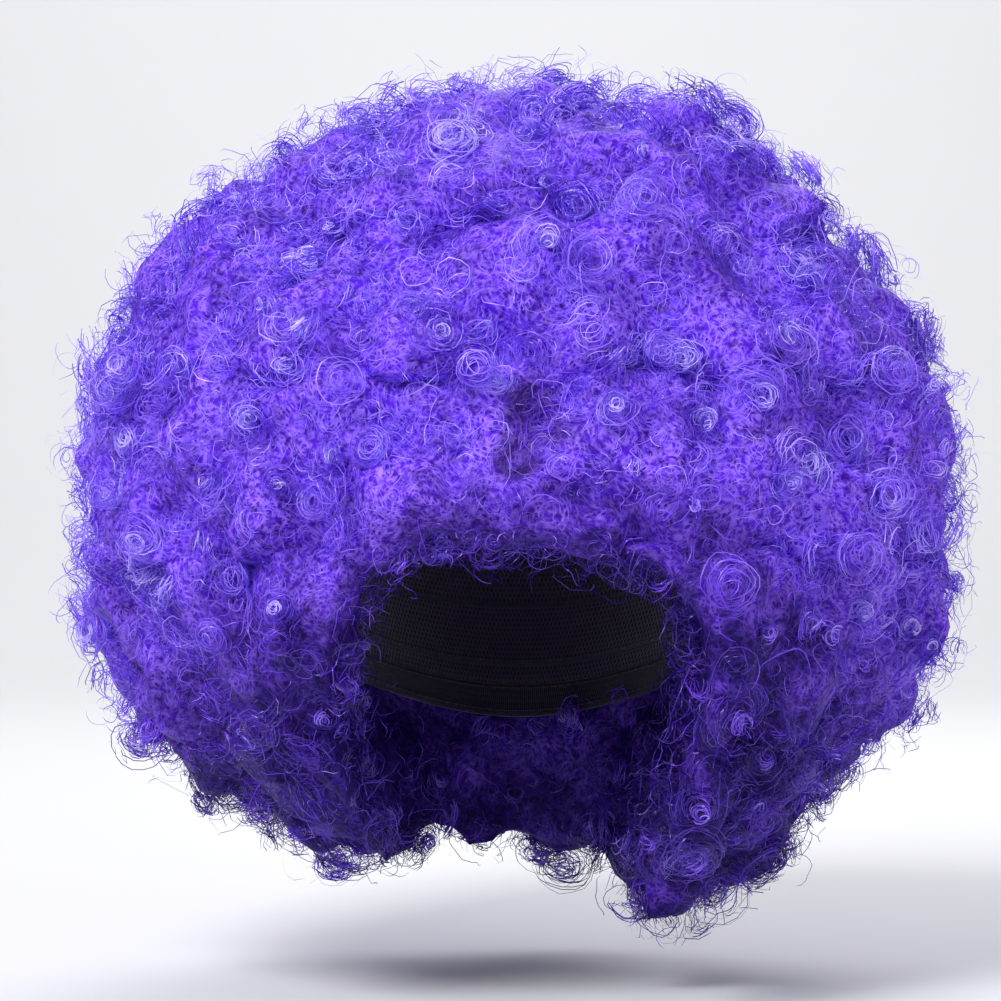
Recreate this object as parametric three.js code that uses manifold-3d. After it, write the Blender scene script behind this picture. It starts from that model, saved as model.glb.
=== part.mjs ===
// Clown wig: a round ball of tight curls, sewn in rows to a stretch net cap with an elastic hem.
// Millimetres, +Z up, and the face looks along -Y.
// The origin is the top of the head, where the inside of the cap rests on it.

import * as THREE from 'three';
import { mergeVertices } from 'three/addons/utils/BufferGeometryUtils.js';
import Module from 'manifold-3d';

const wasm = await Module();
wasm.setup();

// Head hollow, an ellipsoid below the origin
const headHalfWidth = 75;
const headHalfDepth = 95;
const headHalfHeight = 90;

// Cap of stretch net, and how far its rim drops below the crown
const capWall = 1.5;
const rimDropFront = 48;
const rimDropEar = 112;
const rimDropNape = 134;

// Elastic hem that carries on below the rim
const bandHeight = 12;
const bandWall = 2.2;

// Gap kept between pieces that touch
const seatGap = 0.3;

// Ball of hair: its centre below and behind the crown, and its reach
const ballDrop = 57;
const ballSetBack = 6;
const ballHalfWidth = 177;
const ballHalfDepth = 171;

// Locks: how far apart they stand, how wide each is, and the depth of the valleys between them
const lockSpacing = 64;
const lockWidth = 66;
const valleyDepth = 15;
const reachSpread = 9;

// Opening for the face, and the hollow for the neck
const faceHalfWidth = 65;
const faceTopDrop = 70;
const faceHeight = 170;
const neckHalfWidth = 49;
const neckHalfDepth = 58;
const neckSetBack = 10;

// Facets around the head, from its crown to the rim and on to its foot
const headFacets = 20;
const capSteps = 8;
const footSteps = 3;

// Facets around one lock and around the seam between two rows, and how fine the backing is
const lockSides = 5;
const seamFacets = 16;
const backingDetail = 3;

// Reach of the ball seen from the front, as shares of its half width.
// The angle turns from the wearer's left, over the crown, to the right.
const frontReach = [
  { angle: 0, share: 1 },
  { angle: 22, share: 0.985 },
  { angle: 40, share: 0.935 },
  { angle: 60, share: 0.98 },
  { angle: 78, share: 0.93 },
  { angle: 103, share: 0.96 },
  { angle: 120, share: 0.922 },
  { angle: 140, share: 0.975 },
  { angle: 180, share: 1.003 },
  { angle: 212, share: 1 },
  { angle: 238, share: 0.925 },
  { angle: 268, share: 0.91 },
  { angle: 290, share: 1.02 },
  { angle: 318, share: 0.985 },
  { angle: 360, share: 1 },
];

// Sections of one lock, from its root to its curled end.
// Along is a share of its reach, width a share of its width, lean a share of its spacing.
const lockSections = [
  { along: 0.7, width: 0.7, lean: 0 },
  { along: 0.87, width: 1, lean: 0.02 },
  { along: 0.965, width: 0.66, lean: 0.12 },
];
const lockTip = { along: 1, width: 0, lean: 0.26 };

// Edge of the face opening, as shares of its half width and of its height.
// Curls of the fringe hang a little way into its top.
const faceEdge = [
  { side: -0.6, down: 0.015 },
  { side: -0.48, down: -0.01 },
  { side: -0.32, down: 0.03 },
  { side: -0.18, down: 0 },
  { side: -0.02, down: 0.035 },
  { side: 0.1, down: 0.005 },
  { side: 0.26, down: 0.04 },
  { side: 0.38, down: 0.02 },
  { side: 0.54, down: 0.085 },
  { side: 0.68, down: 0.06 },
  { side: 0.85, down: 0.13 },
  { side: 0.95, down: 0.16 },
  { side: 1, down: 0.29 },
  { side: 0.93, down: 0.48 },
  { side: 0.78, down: 0.64 },
  { side: 0.68, down: 0.82 },
  { side: 0.66, down: 1 },
  { side: -0.78, down: 1 },
  { side: -0.79, down: 0.8 },
  { side: -0.9, down: 0.6 },
  { side: -1.02, down: 0.42 },
  { side: -1.01, down: 0.27 },
  { side: -0.86, down: 0.1 },
];

// Rows of hair, each a wedge of the ball between two angles from straight up.
// Rings is how many rings of locks the row holds.
const hairRows = [
  { name: 'whorl_weft', from: 0, to: 25, rings: 2, colour: '#7350dd' },
  { name: 'crown_weft', from: 25, to: 50, rings: 2, colour: '#6f4cd8' },
  { name: 'upper_weft', from: 50, to: 74, rings: 2, colour: '#6b48d2' },
  { name: 'brow_weft', from: 74, to: 98, rings: 2, colour: '#6343c4' },
  { name: 'ear_weft', from: 98, to: 123, rings: 2, colour: '#5438a8' },
  { name: 'nape_weft', from: 123, to: 180, rings: 4, colour: '#3d2a86' },
];

const degrees = Math.PI / 180;
const goldenShare = (Math.sqrt(5) - 1) / 2;
const ballCentre = new THREE.Vector3(0, ballSetBack, -ballDrop);
const headCentre = new THREE.Vector3(0, 0, -headHalfHeight);

// Closed body from rings of points, each turning to the left as seen from the next one.
// An end ring of one point closes to that point, and with loop the last ring joins the first.
function loft(rings, loop = false) {
  const starts = [];
  const places = [];
  for (const ring of rings) {
    starts.push(places.length / 3);
    for (const point of ring) places.push(point.x, point.y, point.z);
  }
  const faces = [];
  const pairs = loop ? rings.length : rings.length - 1;
  for (let i = 0; i < pairs; i++) {
    const j = (i + 1) % rings.length;
    const near = rings[i].length;
    const far = rings[j].length;
    for (let k = 0; k < Math.max(near, far); k++) {
      const a = starts[i] + (k % near);
      const b = starts[i] + ((k + 1) % near);
      const c = starts[j] + (k % far);
      const d = starts[j] + ((k + 1) % far);
      if (near > 1) faces.push(a, b, c);
      if (far > 1) faces.push(b, d, c);
      if (near === 1) faces.splice(-3, 3, a, d, c);
    }
  }
  const geometry = new THREE.BufferGeometry();
  geometry.setAttribute('position', new THREE.Float32BufferAttribute(places, 3));
  geometry.setIndex(faces);
  return geometry;
}

// Solid for joining and cutting, from a closed geometry
function solidOf(geometry) {
  const bare = geometry.clone();
  bare.deleteAttribute('normal');
  bare.deleteAttribute('uv');
  const merged = mergeVertices(bare, 1e-4);
  const corners = merged.index.array;
  const faces = [];
  for (let i = 0; i < corners.length; i += 3) {
    const [a, b, c] = corners.slice(i, i + 3);
    if (a !== b && b !== c && c !== a) faces.push(a, b, c);
  }
  return new wasm.Manifold(new wasm.Mesh({
    numProp: 3,
    vertProperties: merged.attributes.position.array,
    triVerts: new Uint32Array(faces),
  }));
}

// The one body that matters, without the shavings that a cut leaves loose
const withoutShavings = (solid) => (
  solid.decompose().reduce((most, body) => (body.volume() > most.volume() ? body : most))
);

// Named mesh from a solid
function pieceOf(name, solid, colour, roughness) {
  const { vertProperties, triVerts } = solid.getMesh();
  const geometry = new THREE.BufferGeometry();
  geometry.setAttribute('position', new THREE.BufferAttribute(vertProperties, 3));
  geometry.setIndex(new THREE.BufferAttribute(triVerts, 1));
  geometry.computeVertexNormals();
  const material = new THREE.MeshStandardMaterial({ color: colour, roughness, metalness: 0 });
  const mesh = new THREE.Mesh(geometry, material);
  mesh.name = name;
  return mesh;
}

// Share read from a table by its key column, with a smooth turn at each row
function readTable(table, key, column, value) {
  const next = Math.max(1, table.findIndex((row) => row[key] >= value));
  const low = table[next - 1];
  const high = table[next];
  const t = THREE.MathUtils.smoothstep(value, low[key], high[key]);
  return THREE.MathUtils.lerp(low[column], high[column], t);
}

// Point of the head hollow, grown by offset. The turn runs round from the forehead,
// and the fall runs from the crown, half a turn to the foot.
function headPoint(turn, fall, offset) {
  return new THREE.Vector3(
    (headHalfWidth + offset) * Math.sin(fall) * Math.sin(turn),
    -(headHalfDepth + offset) * Math.sin(fall) * Math.cos(turn),
    (headHalfHeight + offset) * Math.cos(fall),
  ).add(headCentre);
}

// Fall at which the head hollow lies this far below the crown
const fallAtDrop = (drop) => Math.acos(1 - drop / headHalfHeight);

// How far the cap's rim drops below the crown at each turn: high on the forehead, low at the nape
function rimDrop(turn) {
  const front = Math.max(0, Math.cos(turn)) ** 1.5;
  const back = Math.max(0, -Math.cos(turn)) ** 1.5;
  return rimDropEar + front * (rimDropFront - rimDropEar) + back * (rimDropNape - rimDropEar);
}

// Ring of points round the head. The fall may differ at each turn.
function headRing(fallAt, offset) {
  return Array.from({ length: headFacets }, (_, i) => {
    const turn = (i / headFacets) * Math.PI * 2;
    return headPoint(turn, fallAt(turn), offset);
  });
}

// Rings round the head from its crown to the cap's rim, the crown itself left out
const upperRings = (offset) => Array.from({ length: capSteps }, (_, i) => (
  headRing((turn) => ((i + 1) / capSteps) * fallAtDrop(rimDrop(turn)), offset)
));

// Rings from below the cap's rim to the foot of the head hollow, the foot itself left out
const lowerRings = (offset) => Array.from({ length: footSteps }, (_, i) => (
  headRing((turn) => {
    const rim = fallAtDrop(rimDrop(turn));
    return THREE.MathUtils.lerp(rim, Math.PI, (i + 1) / (footSteps + 1));
  }, offset)
));

// Stretch net cap, a thin bowl from the crown to its rim
function makeCap() {
  const inner = [[headPoint(0, 0, 0)], ...upperRings(0)];
  const outer = [[headPoint(0, 0, capWall)], ...upperRings(capWall)];
  return loft([...inner, ...outer.reverse()]);
}

// Elastic hem below the rim, a ring grown by clearance on every side
function makeBand(clearance) {
  const edge = (drop, offset) => headRing((turn) => fallAtDrop(rimDrop(turn) + drop), offset);
  const top = seatGap - clearance;
  const middle = bandHeight / 2;
  const foot = bandHeight + clearance;
  const outer = bandWall + clearance;
  return loft([
    edge(top, -clearance),
    edge(middle, -clearance),
    edge(foot, -clearance),
    edge(foot, outer),
    edge(middle, outer),
    edge(top, outer),
  ], true);
}

// Whole head hollow, grown by offset
function makeHeadHollow(offset) {
  const crown = [headPoint(0, 0, offset)];
  const foot = [headPoint(0, Math.PI, offset)];
  return loft([crown, ...upperRings(offset), ...lowerRings(offset), foot].reverse());
}

// Space in front of the face, cut straight through the hair
function makeFaceOpening() {
  const edge = faceEdge.map(({ side, down }) => (
    new THREE.Vector2(side * faceHalfWidth, -faceTopDrop - down * faceHeight)
  ));
  const opening = new THREE.ExtrudeGeometry(new THREE.Shape(edge), {
    depth: ballHalfDepth * 1.5,
    bevelEnabled: false,
  });
  return opening.rotateX(Math.PI / 2);
}

// Space for the neck below the head
function makeNeckHollow() {
  const neck = new THREE.CylinderGeometry(1, 1, ballHalfWidth * 2, headFacets);
  neck.rotateX(Math.PI / 2);
  neck.scale(neckHalfWidth, neckHalfDepth, 1);
  return neck.translate(0, neckSetBack, -headHalfHeight - ballHalfWidth);
}

// Unit direction from the ball's centre: tilt from straight up, turn round from the face
function directionAt(tilt, turn) {
  return new THREE.Vector3(
    Math.sin(tilt) * Math.sin(turn),
    -Math.sin(tilt) * Math.cos(turn),
    Math.cos(tilt),
  );
}

// Reach of the ball in one direction: the front outline, drawn in towards front and back
function ballReach(direction) {
  const spread = Math.hypot(direction.x, direction.z);
  const angle = Math.atan2(direction.z, direction.x) / degrees;
  const share = readTable(frontReach, 'angle', 'share', (angle + 360) % 360);
  const round = 1 / Math.hypot(spread / ballHalfWidth, direction.y / ballHalfDepth);
  return round * (1 + (share - 1) * spread);
}

// Backing that the locks stand on, a ball as deep as the valleys
function makeBacking() {
  const ball = new THREE.IcosahedronGeometry(1, backingDetail);
  const place = ball.attributes.position;
  const point = new THREE.Vector3();
  for (let i = 0; i < place.count; i++) {
    point.fromBufferAttribute(place, i).normalize();
    point.multiplyScalar(ballReach(point) - valleyDepth).add(ballCentre);
    place.setXYZ(i, point.x, point.y, point.z);
  }
  const bare = new THREE.BufferGeometry();
  bare.setAttribute('position', place);
  return mergeVertices(bare, 1e-3);
}

// One lock along a direction, its end curled over sideways
function makeLock(direction, reach, curlTurn) {
  const upright = Math.abs(direction.z) > 0.9 ? new THREE.Vector3(1, 0, 0) : new THREE.Vector3(0, 0, 1);
  const across = new THREE.Vector3().crossVectors(upright, direction).normalize();
  const over = new THREE.Vector3().crossVectors(direction, across);
  const curl = across.clone().multiplyScalar(Math.cos(curlTurn));
  curl.addScaledVector(over, Math.sin(curlTurn));
  const centreOf = ({ along, lean }) => (
    ballCentre.clone().addScaledVector(direction, along * reach).addScaledVector(curl, lean * lockSpacing)
  );
  const rings = lockSections.map((section) => Array.from({ length: lockSides }, (_, i) => {
    const turn = (i / lockSides) * Math.PI * 2 + curlTurn;
    const radius = (section.width * lockWidth) / 2;
    return centreOf(section)
      .addScaledVector(across, radius * Math.cos(turn))
      .addScaledVector(over, radius * Math.sin(turn));
  }));
  const root = centreOf({ ...lockSections[0], lean: 0 });
  return loft([[root], ...rings, [centreOf(lockTip)]]);
}

// Wedge of space between two cones from the ball's centre, half a gap short of each
function makeWedge(from, to) {
  const near = Math.min(headHalfWidth, ballDrop) * 0.3;
  const far = ballHalfWidth * 1.4;
  const cone = (angle, radius, side) => new THREE.Vector2(
    radius * Math.sin(angle) + side * Math.cos(angle) * (seatGap / 2),
    radius * Math.cos(angle) - side * Math.sin(angle) * (seatGap / 2),
  );
  const onAxis = (height) => new THREE.Vector2(0, height);
  const profile = [];
  if (to >= Math.PI) profile.push(onAxis(-near));
  if (from > 0) profile.push(cone(from, near, 1), cone(from, far, 1));
  else profile.push(onAxis(far));
  for (const share of [0.25, 0.5, 0.75]) profile.push(cone(from + (to - from) * share, far, 0));
  if (to < Math.PI) profile.push(cone(to, far, -1), cone(to, near, -1));
  else profile.push(onAxis(-far));
  if (from <= 0) profile.push(onAxis(near));
  if (from > 0 && to < Math.PI) profile.push(profile[0].clone());
  const wedge = new THREE.LatheGeometry(profile.reverse(), seamFacets);
  return wedge.rotateX(Math.PI / 2).translate(ballCentre.x, ballCentre.y, ballCentre.z);
}

// Directions of the locks in one row, in rings about lockSpacing apart
function lockDirections(row) {
  const found = [];
  for (let ring = 0; ring < row.rings; ring++) {
    const share = row.from > 0 ? (ring + 0.5) / row.rings : ring / (row.rings - 0.5);
    const tilt = (row.from + (row.to - row.from) * share) * degrees;
    const count = Math.max(1, Math.round((Math.sin(tilt) * ballHalfWidth * 2 * Math.PI) / lockSpacing));
    for (let i = 0; i < count; i++) {
      const turn = ((i + ring * 0.5 + row.from * goldenShare) / count) * Math.PI * 2;
      found.push(directionAt(tilt, turn));
    }
  }
  return found;
}

// One row of hair: its locks on their backing, within the row's wedge
function makeHairRow(row, backing) {
  const wedge = solidOf(makeWedge(row.from * degrees, row.to * degrees));
  let hair = backing;
  lockDirections(row).forEach((direction, i) => {
    const spread = ((i * goldenShare) % 1) - 0.5;
    const reach = ballReach(direction) + spread * reachSpread;
    const curlTurn = i * goldenShare * Math.PI * 2;
    hair = hair.add(solidOf(makeLock(direction, reach, curlTurn)));
  });
  return hair.intersect(wedge);
}

const wig = new THREE.Group();
wig.add(pieceOf('net_cap', solidOf(makeCap()), '#2c2540', 0.9));
wig.add(pieceOf('edge_band', solidOf(makeBand(0)), '#211c31', 0.8));

const backing = solidOf(makeBacking());
const hollow = solidOf(makeHeadHollow(capWall + seatGap))
  .add(solidOf(makeBand(seatGap)))
  .add(solidOf(makeFaceOpening()))
  .add(solidOf(makeNeckHollow()));
for (const row of hairRows) {
  const hair = withoutShavings(makeHairRow(row, backing).subtract(hollow));
  wig.add(pieceOf(row.name, hair, row.colour, 0.5));
}

export default wig;
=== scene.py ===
import math
import random

import bmesh
import bpy
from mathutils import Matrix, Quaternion, Vector, noise
from mathutils.bvhtree import BVHTree


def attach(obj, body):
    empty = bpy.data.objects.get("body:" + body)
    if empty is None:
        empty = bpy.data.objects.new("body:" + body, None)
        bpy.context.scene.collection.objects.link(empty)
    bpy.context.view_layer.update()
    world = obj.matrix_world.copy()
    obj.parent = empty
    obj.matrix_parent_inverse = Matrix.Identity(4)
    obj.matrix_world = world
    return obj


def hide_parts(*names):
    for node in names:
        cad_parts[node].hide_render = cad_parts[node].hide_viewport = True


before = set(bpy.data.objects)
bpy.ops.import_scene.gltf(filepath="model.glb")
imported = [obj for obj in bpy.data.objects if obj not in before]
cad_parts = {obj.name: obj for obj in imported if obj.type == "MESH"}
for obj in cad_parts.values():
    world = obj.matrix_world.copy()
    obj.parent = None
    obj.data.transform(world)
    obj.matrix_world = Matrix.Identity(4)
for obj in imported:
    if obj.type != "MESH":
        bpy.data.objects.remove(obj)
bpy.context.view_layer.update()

# Camera: straight in front of the wig and level with the middle of its ball of hair,
# far enough off that the ball looks as round as it does in the picture.

CAMERA_PLACE = Vector((-0.0077, -1.395, -0.059))
CAMERA_LENS = 129.9
SENSOR_WIDTH = 36.0
IMAGE_SIDE = 1001

camera = bpy.data.objects.new("camera", bpy.data.cameras.new("camera"))
camera.location = CAMERA_PLACE
camera.rotation_euler = (math.pi / 2, 0, 0)
camera.data.lens = CAMERA_LENS
camera.data.sensor_width = SENSOR_WIDTH
camera.data.clip_start = 0.01
bpy.context.scene.collection.objects.link(camera)
bpy.context.scene.camera = camera

# Net cap: a bowl of dark stretch net that the hair is sewn to. Narrow tracks of folded tape
# run round it, one above the other, and each is held down by a line of stitches.
# It is seen from below, through the opening for the face, and at the parting.

HEAD_HALF = Vector((0.075, 0.095, 0.090))
HEAD_CENTRE = Vector((0, 0, -0.090))
CAP_WALL = 0.0015
RIM_DROP_FRONT, RIM_DROP_EAR, RIM_DROP_NAPE = 0.048, 0.112, 0.134
RIM_CURVE = 1.5
CAP_TURNS, CAP_FALLS = 120, 36
NET_GAP = 0.0022
NET_THREAD = (0.045, 0.030, 0.085, 1)
NET_HOLE = (0.008, 0.005, 0.018, 1)
TAPE_DARK = (0.015, 0.010, 0.030, 1)
TAPE_PALE = (0.054, 0.036, 0.108, 1)
TAPE_WEAVE = (900, 900, 2400)
TRACK_FALLS = (0.12, 0.26, 0.40, 0.54, 0.68, 0.82, 0.95)
TRACK_WIDTH, TRACK_THICKNESS, TRACK_PROUD = 0.0048, 0.0009, 0.0003
STITCH_GAP, STITCH_LENGTH = 0.0042, 0.0028


def rim_drop(turn):
    """How far the cap's rim drops below the crown: high on the forehead, low at the nape."""
    front = max(0.0, math.cos(turn)) ** RIM_CURVE
    back = max(0.0, -math.cos(turn)) ** RIM_CURVE
    return RIM_DROP_EAR + front * (RIM_DROP_FRONT - RIM_DROP_EAR) + back * (RIM_DROP_NAPE - RIM_DROP_EAR)


def fall_at_drop(drop):
    """Angle down from the crown at which the head has dropped this far."""
    return math.acos(1 - drop / HEAD_HALF.z)


def head_point(turn, fall, offset):
    """Point on the head, grown by offset. The turn starts at the forehead and the fall at the crown."""
    return HEAD_CENTRE + Vector((
        (HEAD_HALF.x + offset) * math.sin(fall) * math.sin(turn),
        -(HEAD_HALF.y + offset) * math.sin(fall) * math.cos(turn),
        (HEAD_HALF.z + offset) * math.cos(fall),
    ))


def shell_mesh(name, rings, loop=False):
    """Smooth closed mesh through rings of points. Its UV map is the way round and the way down them."""
    shape = bmesh.new()
    cloth = shape.loops.layers.uv.new("cloth")
    made = [[shape.verts.new(point) for point in ring] for ring in rings]
    steps = [0.0]
    for near, far in zip(rings, rings[1:] + rings[:1]):
        steps.append(steps[-1] + (near[0] - far[0]).length)
    around = max(len(ring) for ring in rings)
    girth = 2 * math.pi * HEAD_HALF.y
    for i in range(len(made) if loop else len(made) - 1):
        near, far = made[i], made[(i + 1) % len(made)]
        for k in range(around):
            corners = [(near, k, i), (near, k + 1, i), (far, k + 1, i + 1), (far, k, i + 1)]
            verts = [ring[place % len(ring)] for ring, place, _ in corners]
            kept = [n for n in range(4) if verts[n] not in verts[:n]]
            face = shape.faces.new([verts[n] for n in kept])
            face.smooth = True
            for corner, n in zip(face.loops, kept):
                corner[cloth].uv = (corners[n][1] / around * girth, steps[corners[n][2]])
    bmesh.ops.recalc_face_normals(shape, faces=shape.faces)
    mesh = bpy.data.meshes.new(name)
    shape.to_mesh(mesh)
    shape.free()
    return mesh


def new_piece(name, mesh):
    piece = bpy.data.objects.new(name, mesh)
    bpy.context.scene.collection.objects.link(piece)
    return piece


def node(tree, kind, inputs=None, **settings):
    """A node with its settings. Its inputs, by name or place, are values or other nodes' sockets."""
    made = tree.nodes.new(kind)
    for name, value in settings.items():
        setattr(made, name, value)
    for key, value in (inputs or {}).items():
        if isinstance(value, bpy.types.NodeSocket):
            tree.links.new(value, made.inputs[key])
        else:
            made.inputs[key].default_value = value
    return made


def maths(tree, operation, a, b=0.0, c=0.0):
    """The socket of one sum on numbers."""
    return node(tree, "ShaderNodeMath", {0: a, 1: b, 2: c}, operation=operation).outputs[0]


def vectors(tree, operation, a, b=None):
    """The socket of one sum on vectors, where b is a number for SCALE."""
    made = node(tree, "ShaderNodeVectorMath", {0: a}, operation=operation)
    if b is not None:
        slot = made.inputs["Scale"] if operation == "SCALE" else made.inputs[1]
        if isinstance(b, bpy.types.NodeSocket):
            tree.links.new(b, slot)
        else:
            slot.default_value = b
    return made.outputs[0]


def xyz(tree, x=0.0, y=0.0, z=0.0):
    return node(tree, "ShaderNodeCombineXYZ", {0: x, 1: y, 2: z}).outputs[0]


def blend(tree, share, first, second):
    """The first colour where the share is 0, and the second where it is 1."""
    return node(tree, "ShaderNodeMix", {0: share, 6: first, 7: second}, data_type="RGBA").outputs[2]


def ramped(tree, value, start, end, first=0.0, last=1.0):
    """Goes evenly from first, where the value is start, to last, where it is end, and stays there."""
    return node(tree, "ShaderNodeMapRange", {
        "Value": value, "From Min": start, "From Max": end, "To Min": first, "To Max": last}).outputs[0]


def rough(tree, place, rate, detail, roughness=0.5):
    """Even noise in space, about 0.5 on average."""
    return node(tree, "ShaderNodeTexNoise", {
        "Vector": place, "Scale": rate, "Detail": detail, "Roughness": roughness}).outputs[0]


def new_material(name, roughness, specular=0.5, sheen=0.0):
    """A plain material, its node tree and its shader."""
    material = bpy.data.materials.new(name)
    material.use_nodes = True
    shader = material.node_tree.nodes["Principled BSDF"]
    shader.inputs["Roughness"].default_value = roughness
    shader.inputs["Specular IOR Level"].default_value = specular
    shader.inputs["Sheen Weight"].default_value = sheen
    return material, material.node_tree, shader


def stretch_net():
    """Net knitted in small diamonds: two sets of threads that cross over dark holes."""
    material, tree, shader = new_material("stretch_net", 0.75, 0.3, 0.4)
    cloth = node(tree, "ShaderNodeUVMap", uv_map="cloth").outputs[0]
    along, down = node(tree, "ShaderNodeSeparateXYZ", {0: cloth}).outputs[:2]
    sets = []
    for operation in ("ADD", "SUBTRACT"):
        slant = maths(tree, "MULTIPLY", maths(tree, operation, along, down), 2 * math.pi / NET_GAP)
        sets.append(maths(tree, "SINE", slant))
    threads = maths(tree, "MAXIMUM", *sets)
    share = ramped(tree, threads, 0.1, 0.9)
    tree.links.new(blend(tree, share, NET_HOLE, NET_THREAD), shader.inputs["Base Color"])
    relief = node(tree, "ShaderNodeBump", {"Height": share, "Strength": 0.7, "Distance": 0.0004})
    tree.links.new(relief.outputs[0], shader.inputs["Normal"])
    return material


def sewn_tape():
    """Folded cotton tape with a fine weave across it, and thread of the same dark violet."""
    material, tree, shader = new_material("sewn_tape", 0.7, 0.3, 0.5)
    place = node(tree, "ShaderNodeTexCoord").outputs["Object"]
    weave = rough(tree, vectors(tree, "MULTIPLY", place, TAPE_WEAVE), 1.0, 2.0)
    tree.links.new(blend(tree, weave, TAPE_DARK, TAPE_PALE), shader.inputs["Base Color"])
    relief = node(tree, "ShaderNodeBump", {"Height": weave, "Strength": 0.5, "Distance": 0.0003})
    tree.links.new(relief.outputs[0], shader.inputs["Normal"])
    return material


def new_tree(name, sizes):
    """A Geometry Nodes tree that takes a geometry and one named input for each size."""
    tree = bpy.data.node_groups.new(name, "GeometryNodeTree")
    tree.interface.new_socket("Geometry", in_out="INPUT", socket_type="NodeSocketGeometry")
    for label, kind in sizes.items():
        tree.interface.new_socket(label, in_out="INPUT", socket_type="NodeSocket" + kind)
    tree.interface.new_socket("Geometry", in_out="OUTPUT", socket_type="NodeSocketGeometry")
    return tree, tree.nodes.new("NodeGroupInput").outputs


def finish_tree(tree, geometry, material):
    """Ends a tree with real geometry that wears the material."""
    real = node(tree, "GeometryNodeRealizeInstances", {"Geometry": geometry})
    dressed = node(tree, "GeometryNodeSetMaterial", {"Geometry": real.outputs[0], "Material": material})
    tree.links.new(dressed.outputs[0], tree.nodes.new("NodeGroupOutput").inputs[0])


def grown(name, base, tree, values):
    """A new piece: the plain mesh that the tree makes from the base, a mesh or a curve."""
    source = bpy.data.objects.new(name + "_base", base)
    bpy.context.scene.collection.objects.link(source)
    modifier = source.modifiers.new(tree.name, "NODES")
    modifier.node_group = tree
    for item in tree.interface.items_tree:
        if item.in_out == "INPUT" and item.name in values:
            modifier[item.identifier] = values[item.name]
    depsgraph = bpy.context.evaluated_depsgraph_get()
    mesh = bpy.data.meshes.new_from_object(source.evaluated_get(depsgraph))
    bpy.data.objects.remove(source)
    mesh.name = name
    return new_piece(name, mesh)


def path_round(name, loops):
    """A curve with one closed loop of points for each list."""
    curve = bpy.data.curves.new(name, "CURVE")
    curve.dimensions = "3D"
    for points in loops:
        spline = curve.splines.new("POLY")
        spline.points.add(len(points) - 1)
        for place, point in zip(spline.points, points):
            place.co = (*point, 1)
        spline.use_cyclic_u = True
    return curve


def track_tree():
    """Flat tape along each path, with a line of short round stitches down its middle."""
    tree, size = new_tree("sewn_tracks", {
        "Width": "Float", "Thickness": "Float", "Stitch Gap": "Float", "Stitch Length": "Float",
        "Thread": "Float", "Lift": "Float", "Material": "Material",
    })
    section = node(tree, "GeometryNodeCurvePrimitiveCircle", {"Resolution": 8, "Radius": 0.5}).outputs[0]
    flat = node(tree, "GeometryNodeTransform", {
        "Geometry": section, "Scale": xyz(tree, size["Thickness"], size["Width"], 1.0),
    })
    path, gap = size["Geometry"], size["Stitch Gap"]
    tape = node(tree, "GeometryNodeCurveToMesh", {"Curve": path, "Profile Curve": flat.outputs[0]})
    places = node(tree, "GeometryNodeCurveToPoints", {"Curve": path, "Length": gap}, mode="LENGTH")
    stitch = node(tree, "GeometryNodeMeshUVSphere", {"Segments": 4, "Rings": 3, "Radius": 0.5})
    spot = node(tree, "GeometryNodeInputPosition").outputs[0]
    inward = vectors(tree, "NORMALIZE", vectors(tree, "SUBTRACT", tuple(HEAD_CENTRE), spot))
    raised = node(tree, "GeometryNodeSetPosition", {
        "Geometry": places.outputs["Points"], "Offset": vectors(tree, "SCALE", inward, size["Lift"]),
    })
    stitches = node(tree, "GeometryNodeInstanceOnPoints", {
        "Points": raised.outputs[0],
        "Instance": stitch.outputs[0],
        "Rotation": places.outputs["Rotation"],
        "Scale": xyz(tree, size["Thread"], size["Thread"], size["Stitch Length"]),
    })
    both = node(tree, "GeometryNodeJoinGeometry")
    tree.links.new(tape.outputs[0], both.inputs[0])
    tree.links.new(stitches.outputs[0], both.inputs[0])
    smooth = node(tree, "GeometryNodeSetShadeSmooth", {"Geometry": both.outputs[0]})
    finish_tree(tree, smooth.outputs[0], size["Material"])
    return tree


turns = [2 * math.pi * i / CAP_TURNS for i in range(CAP_TURNS)]


def cap_rings(offset):
    """Rings of points from near the crown down to the rim, on the head grown by offset."""
    return [[head_point(turn, (i + 1) / CAP_FALLS * fall_at_drop(rim_drop(turn)), offset) for turn in turns]
            for i in range(CAP_FALLS)]


inner_wall = [[head_point(0, 0, 0)]] + cap_rings(0)
outer_wall = [[head_point(0, 0, CAP_WALL)]] + cap_rings(CAP_WALL)
cap = new_piece("cap_net", shell_mesh("cap_net", inner_wall + outer_wall[::-1]))
cap.data.materials.append(stretch_net())
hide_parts("net_cap")
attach(cap, "root")

tape = sewn_tape()
sewn_tracks = track_tree()
track_paths = [[head_point(turn, share * fall_at_drop(rim_drop(turn)), -TRACK_PROUD) for turn in turns]
               for share in TRACK_FALLS]
tracks = grown("weft_tracks", path_round("weft_tracks", track_paths), sewn_tracks, {
    "Width": TRACK_WIDTH, "Thickness": TRACK_THICKNESS, "Stitch Gap": STITCH_GAP,
    "Stitch Length": STITCH_LENGTH, "Thread": 0.0006, "Lift": 0.0005, "Material": tape,
})
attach(tracks, "root")

# Elastic hem: a woven elastic band that grips the head below the cap's rim. Fine rubber cords
# run along it as ridges, the weave makes small ribs across it, and a line of stitches holds
# each of its edges.

BAND_HEIGHT, BAND_WALL, SEAT_GAP = 0.012, 0.0022, 0.0003
BAND_CORDS, BAND_STEPS = 5, 20
CORD_RELIEF = 0.0003
RIB_GAP, FUZZ_RATE = 0.0012, 700.0
SEAM_SHARES, SEAM_PROUD = (0.12, 0.88), 0.0002
BAND_DARK = (0.012, 0.008, 0.022, 1)
BAND_PALE = (0.050, 0.036, 0.085, 1)


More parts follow.
